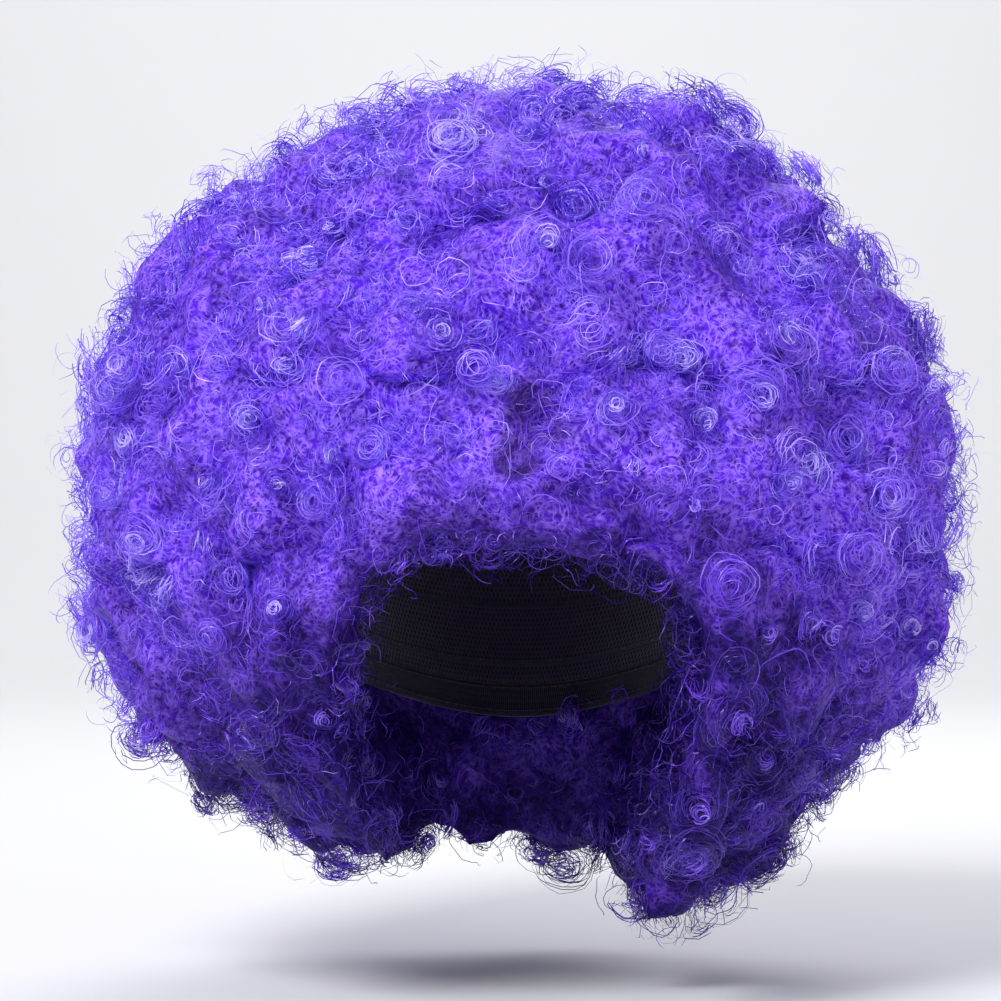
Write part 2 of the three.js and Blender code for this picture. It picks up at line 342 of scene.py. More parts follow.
def woven_elastic():
    """Ribs of weft across the band, close together, over the lengthwise cords."""
    material, tree, shader = new_material("woven_elastic", 0.6, 0.35, 0.3)
    cloth = node(tree, "ShaderNodeUVMap", uv_map="cloth").outputs[0]
    along = node(tree, "ShaderNodeSeparateXYZ", {0: cloth}).outputs[0]
    ribs = maths(tree, "SINE", maths(tree, "MULTIPLY", along, 2 * math.pi / RIB_GAP))
    place = node(tree, "ShaderNodeTexCoord").outputs["Object"]
    fuzz = rough(tree, place, FUZZ_RATE, 2.0)
    share = maths(tree, "ADD", maths(tree, "MULTIPLY", ribs, 0.3), fuzz)
    tree.links.new(blend(tree, share, BAND_DARK, BAND_PALE), shader.inputs["Base Color"])
    relief = node(tree, "ShaderNodeBump", {"Height": share, "Strength": 0.8, "Distance": 0.0003})
    tree.links.new(relief.outputs[0], shader.inputs["Normal"])
    return material


def band_edge(share, offset):
    """Ring of points on the head grown by offset, this share of the way down the band."""
    drop = SEAT_GAP + share * (BAND_HEIGHT - SEAT_GAP)
    return [head_point(turn, fall_at_drop(rim_drop(turn) + drop), offset) for turn in turns]


def cord_depth(share):
    """How proud the cords' ridges stand, this share of the way down the band."""
    return CORD_RELIEF * math.sin(math.pi * share * BAND_CORDS) ** 2


shares = [i / BAND_STEPS for i in range(BAND_STEPS + 1)]
band_rings = [band_edge(share, CORD_RELIEF - cord_depth(share)) for share in shares]
band_rings += [band_edge(share, BAND_WALL - CORD_RELIEF + cord_depth(share)) for share in reversed(shares)]
band = new_piece("elastic_hem", shell_mesh("elastic_hem", band_rings, loop=True))
band.data.materials.append(woven_elastic())
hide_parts("edge_band")
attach(band, "root")

hem_paths = [band_edge(share, -SEAM_PROUD) for share in SEAM_SHARES]
hem_stitches = grown("hem_stitches", path_round("hem_stitches", hem_paths), sewn_tracks, {
    "Width": 0.0003, "Thickness": 0.0003, "Stitch Gap": 0.0036,
    "Stitch Length": 0.0026, "Thread": 0.0007, "Lift": 0.0001, "Material": tape,
})
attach(hem_stitches, "root")

# Matted hair: each row is a ring of long curled fibre, sewn round the cap by its weft.
# Deep under the curls the fibres lie matted in soft lumps, too close to tell apart, and only
# arcs of single fibres show. That is the mass that the row's curls stand on.

BALL_CENTRE = Vector((0, 0.006, -0.057))
ROW_TILTS = {
    "whorl_weft": (0, 25),
    "crown_weft": (25, 50),
    "upper_weft": (50, 74),
    "brow_weft": (74, 98),
    "ear_weft": (98, 123),
    "nape_weft": (123, 180),
}
EDGE_TILT = 0.02
ROW_OVERLAP, ROW_RAGGED, RAGGED_RATE = 0.006, 0.006, 7
MASS_VOXEL = 0.0052
MASS_INSET, MASS_SINK, SINK_RAMP = 0.002, 0.003, 0.2
LUMP_SIZE, LUMP_DEPTH = 0.015, 0.0060
SCALP_SHARE, BARE_HAIR_SHARE = 1.1, 0.5
FRINGE_HALF_WIDTH, FRINGE_FRONT = 0.062, -0.050
FRINGE_TOP, FRINGE_DROP, FRINGE_SHARE = -0.061, 0.030, 0.55
PARTINGS = [
    {"px": 541, "py": 410, "radius": 0.0085, "depth": 0.017},
    {"px": 515, "py": 457, "radius": 0.0050, "depth": 0.010},
]
PARTING_REACH, PARTING_SHARE = 1.6, 0.12


def ray_at(px, py):
    """Direction in which the camera sees this pixel."""
    step = SENSOR_WIDTH / CAMERA_LENS / IMAGE_SIDE
    return Vector(((px - IMAGE_SIDE / 2) * step, 1, -(py - IMAGE_SIDE / 2) * step))


def tree_of(meshes):
    """What a ray or a nearest point is looked up in, for all the faces of these meshes."""
    corners, faces = [], []
    for mesh in meshes:
        first = len(corners)
        corners += [vert.co.copy() for vert in mesh.vertices]
        faces += [tuple(first + place for place in face.vertices) for face in mesh.polygons]
    return BVHTree.FromPolygons(corners, faces)


hair_solids = tree_of([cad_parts[row].data for row in ROW_TILTS])


def at_depth(px, py, depth):
    """Place that the camera sees at this pixel, this far along Y."""
    return CAMERA_PLACE + ray_at(px, py) * (depth - CAMERA_PLACE.y)


def on_hair(px, py):
    """Place of the hair at this pixel, or next to it, and the way that the hair faces there."""
    place = hair_solids.ray_cast(CAMERA_PLACE, ray_at(px, py).normalized())[0]
    place = place or hair_solids.find_nearest(at_depth(px, py, BALL_CENTRE.y))[0]
    return place, (place - BALL_CENTRE).normalized()


def head_share(place):
    """How far out a place is: 1 on the surface of the head, 2 at twice its size."""
    return Vector(a / b for a, b in zip(place - HEAD_CENTRE, HEAD_HALF)).length


def matted_mass(row):
    """The row's solid, rounded off, run into its neighbours and sunk at the partings."""
    low, high = (math.radians(tilt) for tilt in ROW_TILTS[row])
    shape = bmesh.new()
    shape.from_mesh(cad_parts[row].data)
    bmesh.ops.remove_doubles(shape, verts=shape.verts, dist=1e-6)
    up = Vector((0, 0, 1))
    for vert in shape.verts:
        arm = vert.co - BALL_CENTRE
        tilt = arm.angle(up)
        reach = ROW_OVERLAP + ROW_RAGGED * noise.noise(arm.normalized() * RAGGED_RATE)
        if low > 0 and abs(tilt - low) < EDGE_TILT:
            spin = -reach / arm.length
        elif high < math.pi and abs(tilt - high) < EDGE_TILT:
            spin = reach / arm.length
        else:
            continue
        arm.rotate(Quaternion(up.cross(arm).normalized(), spin))
        vert.co = BALL_CENTRE + arm
    mesh = bpy.data.meshes.new(row + "_mass")
    shape.to_mesh(mesh)
    shape.free()
    mass = new_piece(row.replace("weft", "mass"), mesh)
    remesh = mass.modifiers.new("matted", "REMESH")
    remesh.mode = "VOXEL"
    remesh.voxel_size = MASS_VOXEL
    rounded = mass.modifiers.new("rounded", "SMOOTH")
    rounded.factor = 0.6
    rounded.iterations = 7
    depsgraph = bpy.context.evaluated_depsgraph_get()
    mass.data = bpy.data.meshes.new_from_object(mass.evaluated_get(depsgraph))
    mass.modifiers.clear()
    mass.data.materials.clear()
    outwards = [vert.normal.copy() for vert in mass.data.vertices]
    for vert, outward in zip(mass.data.vertices, outwards):
        off_head = min(1.0, max(0.0, (head_share(vert.co) - SCALP_SHARE) / SINK_RAMP))
        sink = MASS_SINK - LUMP_DEPTH * noise.noise(vert.co / LUMP_SIZE)
        vert.co -= outward * MASS_INSET + (vert.co - BALL_CENTRE).normalized() * sink * off_head
        for parting in PARTINGS:
            place, facing = on_hair(parting["px"], parting["py"])
            share = math.exp(-((vert.co - place).length / parting["radius"]) ** 2)
            vert.co -= facing * parting["depth"] * share
    for face in mass.data.polygons:
        face.use_smooth = True
    return mass


def mark_growth(mass, others):
    """Marks the faces that curls grow on: all but those under the cap or inside another row."""
    buried_in = [tree_of([other.data]) for other in others]
    grows = mass.data.attributes.new("grows", "FLOAT", "FACE")
    for face, share in zip(mass.data.polygons, grows.data):
        beside_head = head_share(face.center) < SCALP_SHARE
        turn = math.atan2(face.center.x, -face.center.y)
        share.value = BARE_HAIR_SHARE if beside_head else 1.0
        if beside_head and -face.center.z < rim_drop(turn) + BAND_HEIGHT:
            share.value = 0.0
        at_fringe = abs(face.center.x) < FRINGE_HALF_WIDTH and face.center.y < FRINGE_FRONT
        if at_fringe and FRINGE_TOP - FRINGE_DROP < face.center.z < FRINGE_TOP:
            share.value = min(share.value, FRINGE_SHARE)
        outward = (face.center - BALL_CENTRE).normalized()
        for other in buried_in:
            crossings = 0
            place = other.ray_cast(face.center, outward)[0]
            while place is not None:
                crossings += 1
                place = other.ray_cast(place + outward * 1e-5, outward)[0]
            if crossings % 2:
                share.value = 0.0
        for parting in PARTINGS:
            away = (face.center - on_hair(parting["px"], parting["py"])[0]).length
            if away < PARTING_REACH * parting["radius"]:
                share.value = PARTING_SHARE


# Painted light and shade: the hair's colour is darker low down and beside the opening for the face, where
# less light falls, and lighter above, with patches of painted light and shade the size of lumps.
SHADE_FOOT, SHADE_TOP, TOP_LIGHT = -0.198, -0.106, 0.86
SHADE_BESIDE_REACH, SHADE_BESIDE_TOP, SHADE_BESIDE_FOOT = 0.150, 0.030, -0.110
SHADE_BESIDE_BACK, SHADE_BESIDE_RAMP = 0.060, 0.040
LIGHT_PATCH_SIZE, LIGHT_PATCH_SHARE, LIGHT_PATCH_ROUGHNESS = 0.020, 1.9, 0.75
FIBRE_SHINE = (0.62, 0.50, 1.0, 1)
GROUND_SHADED, GROUND_LIT = (0.010, 0.002, 0.080, 1), (0.086, 0.010, 0.630, 1)
STRAND_SHADED, STRAND_LIT = (0.050, 0.018, 0.280, 1), (0.345, 0.172, 1.000, 1)
WARP_RATE = 70.0
RINGS = [
    {"size": 0.013, "gap": 0.0015, "bend": 0.006}, {"size": 0.008, "gap": 0.0013, "bend": 0.004},
    {"size": 0.021, "gap": 0.0018, "bend": 0.009},
]
RING_SHIFT, RING_CHOICE, RING_EDGE = (3.1, 5.7, 2.3), (0.2, 0.8, 0.3), (0.1, 0.9)
WAVES = [{"size": 0.018, "rounds": 15.0}, {"size": 0.011, "rounds": 11.0}]
WAVE_SHIFT, WAVE_EDGE = (1.0, 2.7, 4.1), (0.45, 0.95, 0.0, 0.75)
BREAK_RATE, BREAK_EDGE = 380.0, (0.34, 0.58)
GAP_RATE, GAP_EDGE, GAP_SHADE = 260.0, (0.36, 0.54), 0.45
PARTING_DARK, PARTING_CLEAR = 0.9, 2.2


def lit_share(tree, place):
    """How lit the colour is painted: painted shade low down and beside the opening for the face, painted
    light above, and patches of painted light and shade.
    """
    x, y, z = node(tree, "ShaderNodeSeparateXYZ", {0: place}).outputs
    shade_beside = maths(tree, "MAXIMUM", maths(tree, "SUBTRACT", SHADE_BESIDE_REACH, maths(tree, "ABSOLUTE", x)), 0.0)
    below = ramped(tree, z, SHADE_BESIDE_TOP, SHADE_BESIDE_FOOT)
    before = ramped(tree, y, SHADE_BESIDE_BACK, SHADE_BESIDE_BACK - SHADE_BESIDE_RAMP)
    drop = maths(tree, "MULTIPLY", maths(tree, "MULTIPLY", below, before), shade_beside)
    share = ramped(tree, maths(tree, "SUBTRACT", z, drop), SHADE_FOOT, SHADE_TOP, 0.0, TOP_LIGHT)
    light_patch = maths(tree, "SUBTRACT", rough(tree, place, 1 / LIGHT_PATCH_SIZE, 2.0, LIGHT_PATCH_ROUGHNESS), 0.5)
    return maths(tree, "ADD", share, maths(tree, "MULTIPLY", light_patch, LIGHT_PATCH_SHARE))


def matted_fibre():
    """Dense violet fibre: arcs of paler fibres cross each other over a dark ground, with painted light and
    shade from lit_share and painted shade in the gaps between fibres.
    """
    material, tree, shader = new_material("matted_fibre", 0.6, 0.2)
    shader.inputs["Specular Tint"].default_value = FIBRE_SHINE
    place = node(tree, "ShaderNodeTexCoord").outputs["Object"]
    warp = node(tree, "ShaderNodeTexNoise", {
        "Vector": place, "Scale": WARP_RATE, "Detail": 1.0}).outputs["Color"]
    lines = 0.0
    for ring in RINGS:
        shift = tuple(ring["size"] * part for part in RING_SHIFT)
        bent = vectors(tree, "ADD", place, vectors(tree, "SCALE", warp, ring["bend"]))
        moved = vectors(tree, "ADD", bent, shift)
        curl = node(tree, "ShaderNodeTexVoronoi", {"Vector": moved, "Scale": 1 / ring["size"]}).outputs
        rate = 2 * math.pi * ring["size"] / ring["gap"]
        strand = maths(tree, "SINE", maths(tree, "MULTIPLY", curl["Distance"], rate))
        chosen = node(tree, "ShaderNodeSeparateXYZ", {0: curl["Color"]}).outputs[0]
        fine = maths(tree, "MULTIPLY", ramped(tree, chosen, *RING_CHOICE), ramped(tree, strand, *RING_EDGE))
        lines = maths(tree, "MAXIMUM", lines, fine)
    for wave in WAVES:
        moved = vectors(tree, "ADD", place, tuple(wave["size"] * part for part in WAVE_SHIFT))
        field = rough(tree, moved, 1 / wave["size"], 0.0)
        strand = maths(tree, "SINE", maths(tree, "MULTIPLY", field, 2 * math.pi * wave["rounds"]))
        lines = maths(tree, "MAXIMUM", lines, ramped(tree, strand, *WAVE_EDGE))
    broken = rough(tree, place, BREAK_RATE, 2.0)
    lines = maths(tree, "MULTIPLY", lines, ramped(tree, broken, *BREAK_EDGE))
    light = lit_share(tree, place)
    # Painted light: lit and shaded copies of the ground's colour and of the arcs' colour, blended by
    # lit_share.
    ground = blend(tree, light, GROUND_SHADED, GROUND_LIT)
    # Painted shade in the gaps between fibres: patches of fine noise where the ground's colour is darker.
    gap_shade = ramped(tree, rough(tree, place, GAP_RATE, 3.0), *GAP_EDGE)
    ground = blend(tree, gap_shade, vectors(tree, "SCALE", ground, GAP_SHADE), ground)
    fibres = blend(tree, lines, ground, blend(tree, light, STRAND_SHADED, STRAND_LIT))
    for parting in PARTINGS:
        middle = on_hair(parting["px"], parting["py"])[0]
        away = node(tree, "ShaderNodeVectorMath", {0: place, 1: middle}, operation="DISTANCE")
        dark, clear = PARTING_DARK * parting["radius"], PARTING_CLEAR * parting["radius"]
        shown = ramped(tree, away.outputs["Value"], dark, clear, 1.0, 0.0)
        fibres = blend(tree, shown, fibres, NET_HOLE)
    tree.links.new(fibres, shader.inputs["Base Color"])
    relief = node(tree, "ShaderNodeBump", {"Height": broken, "Strength": 0.5, "Distance": 0.0010})
    tree.links.new(relief.outputs[0], shader.inputs["Normal"])
    return material


ground_fibre = matted_fibre()
masses = {}
for row in ROW_TILTS:
    masses[row] = matted_mass(row)
    masses[row].data.materials.append(ground_fibre)
rows = list(ROW_TILTS)
for i, row in enumerate(rows):
    mark_growth(masses[row], [masses[near] for near in rows[max(0, i - 1):i] + rows[i + 1:i + 2]])
    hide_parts(row)
    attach(masses[row], "root")

# Ringlets and frizz: the ends of the fibres, set in small curls by heat. Some stay together
# as a ringlet of a dozen fibres, seen end-on as a ring with a dark middle, others have come
# apart to loose curls, and single fibres lie across them all and stand off as frizz.

CURL_SIZES = {
    "Density": "Float", "Seed": "Int", "Radius": "Float", "Turns": "Float", "Pitch": "Float",
    "Fibres": "Int", "Loose": "Float", "Uneven": "Float", "Width": "Float", "Lean": "Float",
    "Lift": "Float", "Depth": "Float", "Frizz": "Float", "Steps": "Int", "Spread": "Float",
    "Twist": "Float", "Painted Highlight": "Float", "Material": "Material",
}
# Lengths are in metres, Turns counts rounds, and Density counts curls on a square metre.
# Loose spreads a curl's fibres, Spread and Twist turn them apart, and Frizz makes them waver.
# Each kind's last value is a painted highlight: it is added to its fibres' tone, so that they look paler, or
# a little darker where it is below 0.
CURL_KINDS = {
    "ringlets": {"Density": 860.0, "Radius": 0.0074, "Turns": 1.4, "Pitch": 0.004, "Fibres": 11,
                 "Loose": 0.0018, "Uneven": 0.28, "Width": 0.00018, "Lean": 1.2, "Lift": 0.006,
                 "Depth": 0.009, "Frizz": 0.0010, "Steps": 15, "Spread": 0.42, "Twist": 1.5, "Painted Highlight": -0.04},
    "tight": {"Density": 640.0, "Radius": 0.0028, "Turns": 1.3, "Pitch": 0.004, "Fibres": 9,
              "Loose": 0.0007, "Uneven": 0.2, "Width": 0.00020, "Lean": 1.6, "Lift": 0.007,
              "Depth": 0.004, "Frizz": 0.0006, "Steps": 10, "Spread": 0.2, "Twist": 1.5, "Painted Highlight": 0.42},
    "curls": {"Density": 5900.0, "Radius": 0.0050, "Turns": 1.05, "Pitch": 0.004, "Fibres": 6,
              "Loose": 0.0016, "Uneven": 0.3, "Width": 0.00017, "Lean": 1.6, "Lift": 0.007,
              "Depth": 0.011, "Frizz": 0.0012, "Steps": 12, "Spread": 0.3, "Twist": 1.5, "Painted Highlight": 0.0},
    "frizz": {"Density": 31500.0, "Radius": 0.0062, "Turns": 0.8, "Pitch": 0.007, "Fibres": 1,
              "Loose": 0.0, "Uneven": 0.35, "Width": 0.00013, "Lean": 2.8, "Lift": 0.009,
              "Depth": 0.012, "Frizz": 0.0016, "Steps": 16, "Spread": 0.3, "Twist": 1.5, "Painted Highlight": 0.04},
    "tresses": {"Density": 900.0, "Radius": 0.0075, "Turns": 0.4, "Pitch": 0.004, "Fibres": 8,
                "Loose": 0.0005, "Uneven": 0.06, "Width": 0.00020, "Lean": 2.2, "Lift": 0.008,
                "Depth": 0.006, "Frizz": 0.0005, "Steps": 18, "Spread": 0.06, "Twist": 0.15, "Painted Highlight": 0.30},
}
QUICK_SHARE = 1.0
CURL_FORMS = [
    {"wide": 1, "long": 1, "close": 0.75}, {"wide": 0.75, "long": 1.25, "close": 0.6},
    {"wide": 1.15, "long": 0.8, "close": 0.9}, {"wide": 0.9, "long": 0.7, "close": 1.25},
]
GIRTHS = (0.6, 1.4)
FRIZZ_RATE, FRIZZ_SHIFT = 120.0, 0.008
TAPER_ROOT, TAPER_RATE, TAPER_TIP = 0.08, 7.0, 0.3
BUNDLE_TONE, FIBRE_TONE, LIT_TONE, TONE_LIMIT = 0.32, 0.14, 0.50, 0.98
TIP_TONE, ACROSS_TONE = 0.06, 0.01
FIBRE_TONES = {
    0.25: (0.040, 0.013, 0.260, 1), 0.5: (0.124, 0.034, 0.650, 1), 0.75: (0.245, 0.125, 0.900, 1),
}
FIBRE_DEEP, FIBRE_PALE = (0.014, 0.004, 0.100, 1), (0.520, 0.410, 1.000, 1)
EACH_WAY = ((-1, -1, -1), (1, 1, 1))


def chance(tree, low, high, seed, kind="FLOAT"):
    """A random value for each point, between low and high, by a fixed seed."""
    made = node(tree, "FunctionNodeRandomValue", {"Seed": seed}, data_type=kind)
    first, last, out = {"FLOAT": (2, 3, 1), "FLOAT_VECTOR": (0, 1, 0), "INT": (4, 5, 2)}[kind]
    for place, value in ((first, low), (last, high)):
        if isinstance(value, bpy.types.NodeSocket):
            tree.links.new(value, made.inputs[place])
        else:
            made.inputs[place].default_value = value
    return made.outputs[out]


def mark(tree, geometry, name, value, kind="FLOAT", domain="POINT"):
    """The geometry with this value stored on it under the name."""
    return node(tree, "GeometryNodeStoreNamedAttribute", {"Geometry": geometry, "Name": name, "Value": value},
                data_type=kind, domain=domain).outputs[0]


def marked(tree, name, kind="FLOAT"):
    """The value stored under the name."""
    return node(tree, "GeometryNodeInputNamedAttribute", {"Name": name}, data_type=kind).outputs["Attribute"]


def turned(tree, rotation, euler):
    """The rotation, turned further about its own axes."""
    by = node(tree, "FunctionNodeEulerToRotation", {"Euler": euler}).outputs[0]
    return node(tree, "FunctionNodeRotateRotation", {"Rotation": rotation, "Rotate By": by},
                rotation_space="LOCAL").outputs[0]


def fibres_on(tree, size, points):
    """Flat curled fibres on points that are marked with stand, girth and bundle, some to each point."""
    slack = vectors(tree, "SCALE", chance(tree, *EACH_WAY, 30, "FLOAT_VECTOR"), size["Loose"])
    copies = node(tree, "GeometryNodeDuplicateElements", {"Geometry": points, "Amount": size["Fibres"]},
                  domain="POINT")
    apart = node(tree, "GeometryNodeSetPosition", {"Geometry": copies.outputs[0], "Offset": slack}).outputs[0]
    apart = mark(tree, apart, "fibre", chance(tree, 0.0, 1.0, 31))
    forms = node(tree, "GeometryNodeJoinGeometry")
    for form in CURL_FORMS:
        rounds = maths(tree, "MULTIPLY", size["Turns"], form["long"])
        start = maths(tree, "MULTIPLY", size["Radius"], form["wide"])
        spiral = node(tree, "GeometryNodeCurveSpiral", {
            "Resolution": size["Steps"], "Rotations": rounds, "Start Radius": start,
            "End Radius": maths(tree, "MULTIPLY", start, form["close"]),
            "Height": maths(tree, "MULTIPLY", rounds, size["Pitch"]),
        })
        ready = node(tree, "GeometryNodeGeometryToInstance", {"Geometry": spiral.outputs[0]})
        tree.links.new(ready.outputs[0], forms.inputs[0])
    girth = marked(tree, "girth")
    least, most = (maths(tree, operation, 1.0, size["Uneven"]) for operation in ("SUBTRACT", "ADD"))
    width = maths(tree, "MULTIPLY", girth, chance(tree, least, most, 32))
    lean = vectors(tree, "MULTIPLY", xyz(tree, size["Spread"], size["Spread"], size["Twist"]),
                   chance(tree, *EACH_WAY, 33, "FLOAT_VECTOR"))
    placed = node(tree, "GeometryNodeInstanceOnPoints", {
        "Points": apart,
        "Instance": forms.outputs[0],
        "Pick Instance": True,
        "Instance Index": chance(tree, 0, len(CURL_FORMS) - 1, 55, "INT"),
        "Rotation": turned(tree, marked(tree, "stand", "QUATERNION"), lean),
        "Scale": xyz(tree, width, width, girth),
    })
    real = node(tree, "GeometryNodeRealizeInstances", {"Geometry": placed.outputs[0]}).outputs[0]

    spot = node(tree, "GeometryNodeInputPosition").outputs[0]
    moved = vectors(tree, "ADD", spot, xyz(tree, maths(tree, "MULTIPLY", marked(tree, "fibre"), FRIZZ_SHIFT)))
    wander = node(tree, "ShaderNodeTexNoise", {
        "Vector": moved, "Scale": FRIZZ_RATE, "Detail": 1.0}).outputs["Color"]
    offset = vectors(tree, "SCALE", vectors(tree, "SUBTRACT", wander, (0.5, 0.5, 0.5)),
                     maths(tree, "MULTIPLY", size["Frizz"], 4))
    frizzed = node(tree, "GeometryNodeSetPosition", {"Geometry": real, "Offset": offset}).outputs[0]
    along = node(tree, "GeometryNodeSplineParameter").outputs["Factor"]
    frizzed = mark(tree, frizzed, "along", along)
    ends = maths(tree, "MULTIPLY", maths(tree, "SUBTRACT", 1.0, along), maths(tree, "ADD", along, TAPER_ROOT))
    taper = maths(tree, "MINIMUM", maths(tree, "MULTIPLY", ends, TAPER_RATE), 1 - TAPER_TIP)
    taper = maths(tree, "ADD", taper, TAPER_TIP)
    section = node(tree, "GeometryNodeCurvePrimitiveLine", {"Start": (-1, 0, 0), "End": (1, 0, 0)}).outputs[0]
    section = mark(tree, section, "across", node(tree, "GeometryNodeSplineParameter").outputs["Factor"])
    flat = node(tree, "GeometryNodeCurveToMesh", {
        "Curve": frizzed, "Profile Curve": section, "Scale": maths(tree, "MULTIPLY", size["Width"], taper),
    }).outputs[0]
    # The tone is partly painted light: the kind's painted highlight, painted light and shade from lit_share,
    # and a random tone for each fibre and each bundle.
    tone = size["Painted Highlight"]
    for value, weight in ((lit_share(tree, spot), LIT_TONE), (marked(tree, "fibre"), FIBRE_TONE),
                          (marked(tree, "bundle"), BUNDLE_TONE)):
        tone = maths(tree, "ADD", maths(tree, "MULTIPLY", value, weight), tone)
    tone = node(tree, "ShaderNodeClamp", {"Value": tone, "Min": 0.0, "Max": TONE_LIMIT}).outputs[0]
    across = maths(tree, "MULTIPLY", marked(tree, "across"), ACROSS_TONE)
    flat = mark(tree, flat, "OFBake", xyz(tree, maths(tree, "ADD", tone, across), marked(tree, "along")),
                "FLOAT2", "CORNER")
    for name in ("bundle", "fibre", "girth", "stand", "along", "across", "grows"):
        flat = node(tree, "GeometryNodeRemoveAttribute", {"Geometry": flat, "Name": name}).outputs[0]
    return node(tree, "GeometryNodeSetShadeSmooth", {"Geometry": flat}).outputs[0]


def scattered_tree():
    """Curls wherever the hair grows on a mass: each leans its own way, and some sit deeper."""
    tree, size = new_tree("scattered_curls", CURL_SIZES)
    points = node(tree, "GeometryNodeDistributePointsOnFaces", {
        "Mesh": size["Geometry"],
        "Density": maths(tree, "MULTIPLY", size["Density"], marked(tree, "grows")),
        "Seed": size["Seed"],
    })
    lift = chance(tree, maths(tree, "SUBTRACT", size["Lift"], size["Depth"]), size["Lift"], 54)
    raised = vectors(tree, "SCALE", points.outputs["Normal"], lift)
    seated = node(tree, "GeometryNodeSetPosition", {"Geometry": points.outputs["Points"], "Offset": raised})
    spun = turned(tree, points.outputs["Rotation"], xyz(tree, 0.0, 0.0, chance(tree, -math.pi, math.pi, 52)))
    stand = turned(tree, spun, xyz(tree, chance(tree, 0.0, size["Lean"], 51), 0.0,
                                   chance(tree, -math.pi, math.pi, 53)))
    seated = mark(tree, seated.outputs[0], "bundle", chance(tree, 0.0, 1.0, 57))
    seated = mark(tree, seated, "girth", chance(tree, *GIRTHS, 58))
    seated = mark(tree, seated, "stand", stand, "QUATERNION")
    finish_tree(tree, fibres_on(tree, size, seated), size["Material"])
    return tree


def curled_fibre():
    """Satin synthetic fibre: deep violet to pale violet, paler towards its tip; its tone holds painted light,
    painted shade and painted highlights.
    """
    material, tree, shader = new_material("curled_fibre", 0.34, 0.8)
    shader.inputs["Specular Tint"].default_value = FIBRE_SHINE
    bake = node(tree, "ShaderNodeUVMap", uv_map="OFBake").outputs[0]
    tone, along = node(tree, "ShaderNodeSeparateXYZ", {0: bake}).outputs[:2]
    tone = maths(tree, "ADD", tone, maths(tree, "MULTIPLY", along, TIP_TONE))
    ramp = node(tree, "ShaderNodeValToRGB", {"Fac": tone})
    stops = ramp.color_ramp.elements
    stops[0].color, stops[1].color = FIBRE_DEEP, FIBRE_PALE
    for position, colour in FIBRE_TONES.items():
        stops.new(position).color = colour
    tree.links.new(ramp.outputs[0], shader.inputs["Base Color"])
    shader.inputs["Anisotropic"].default_value = 0.7
    tangent = node(tree, "ShaderNodeTangent", direction_type="UV_MAP", uv_map="OFBake")
    tree.links.new(tangent.outputs[0], shader.inputs["Tangent"])
    return material


def placed_tree():
    """Curls on the vertices of a mesh that are marked with their stand, girth and bundle."""
    tree, size = new_tree("placed_curls", CURL_SIZES)
    points = node(tree, "GeometryNodeMeshToPoints", {"Mesh": size["Geometry"]}).outputs[0]
    finish_tree(tree, fibres_on(tree, size, points), size["Material"])
    return tree


def curl_spots(name, spots):
    """A mesh of loose vertices, one for each (place, way that the curl faces, girth, tone)."""
    mesh = bpy.data.meshes.new(name)
    mesh.from_pydata([place for place, _, _, _ in spots], [], [])
    girths = mesh.attributes.new("girth", "FLOAT", "POINT")
    tones = mesh.attributes.new("bundle", "FLOAT", "POINT")
    stands = mesh.attributes.new("stand", "QUATERNION", "POINT")
    for i, (_, facing, girth, tone) in enumerate(spots):
        girths.data[i].value = girth
        tones.data[i].value = tone
        stands.data[i].value = facing.to_track_quat("Z", "Y")
    return mesh


fibre = curled_fibre()
scattered_curls = scattered_tree()
placed_curls = placed_tree()
for number, (row, mass) in enumerate(masses.items()):
    for kind, sizes in CURL_KINDS.items():
        tuft = grown(row.replace("weft", kind), mass.data.copy(), scattered_curls, {
            **sizes, "Density": sizes["Density"] * QUICK_SHARE, "Seed": 100 + number, "Material": fibre,
        })
        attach(tuft, "root")

# Show curls: the few large, tidy ringlets that catch the eye on the front, the thin loops of
# the fringe that hang into the opening for the face, and the loops that fly off the outline.

PIXEL = 0.00037
RINGLET_RADIUS = CURL_KINDS["ringlets"]["Radius"] * 1.3
LOOP_RADIUS = CURL_KINDS["curls"]["Radius"]
RINGLET_LIFT = 0.002
RINGLET_LEAN, FRINGE_LEAN, FLY_LEAN = 0.15, 0.7, 0.5
TO_CAMERA = Vector((0, -1, 0))
SHOW_RINGLETS = [
    {"px": 725, "py": 585, "radius": 29, "tone": 0.80}, {"px": 236, "py": 575, "radius": 25, "tone": 0.80},
    {"px": 590, "py": 265, "radius": 27, "tone": 0.60}, {"px": 574, "py": 208, "radius": 20, "tone": 0.80},
    {"px": 888, "py": 372, "radius": 24, "tone": 0.70}, {"px": 374, "py": 447, "radius": 21, "tone": 0.70},
    {"px": 345, "py": 380, "radius": 23, "tone": 0.60}, {"px": 478, "py": 370, "radius": 24, "tone": 0.70},
    {"px": 217, "py": 634, "radius": 21, "tone": 0.70}, {"px": 127, "py": 343, "radius": 21, "tone": 0.60},
    {"px": 178, "py": 372, "radius": 22, "tone": 0.70}, {"px": 660, "py": 355, "radius": 24, "tone": 0.60},
    {"px": 208, "py": 805, "radius": 17, "tone": 0.70}, {"px": 262, "py": 725, "radius": 24, "tone": 0.60},
    {"px": 640, "py": 205, "radius": 24, "tone": 0.50}, {"px": 840, "py": 440, "radius": 25, "tone": 0.50},
    {"px": 110, "py": 490, "radius": 22, "tone": 0.60}, {"px": 320, "py": 500, "radius": 20, "tone": 0.60},
]
FRINGE_FOOT = [
    {"px": 385, "py": 556}, {"px": 430, "py": 578}, {"px": 500, "py": 574}, {"px": 560, "py": 570},
    {"px": 610, "py": 592}, {"px": 660, "py": 600}, {"px": 700, "py": 632},
]
FRINGE_SEAM, FRINGE_ROOT = 525, 526
FRINGE_BEHIND = (0.004, 0.018)
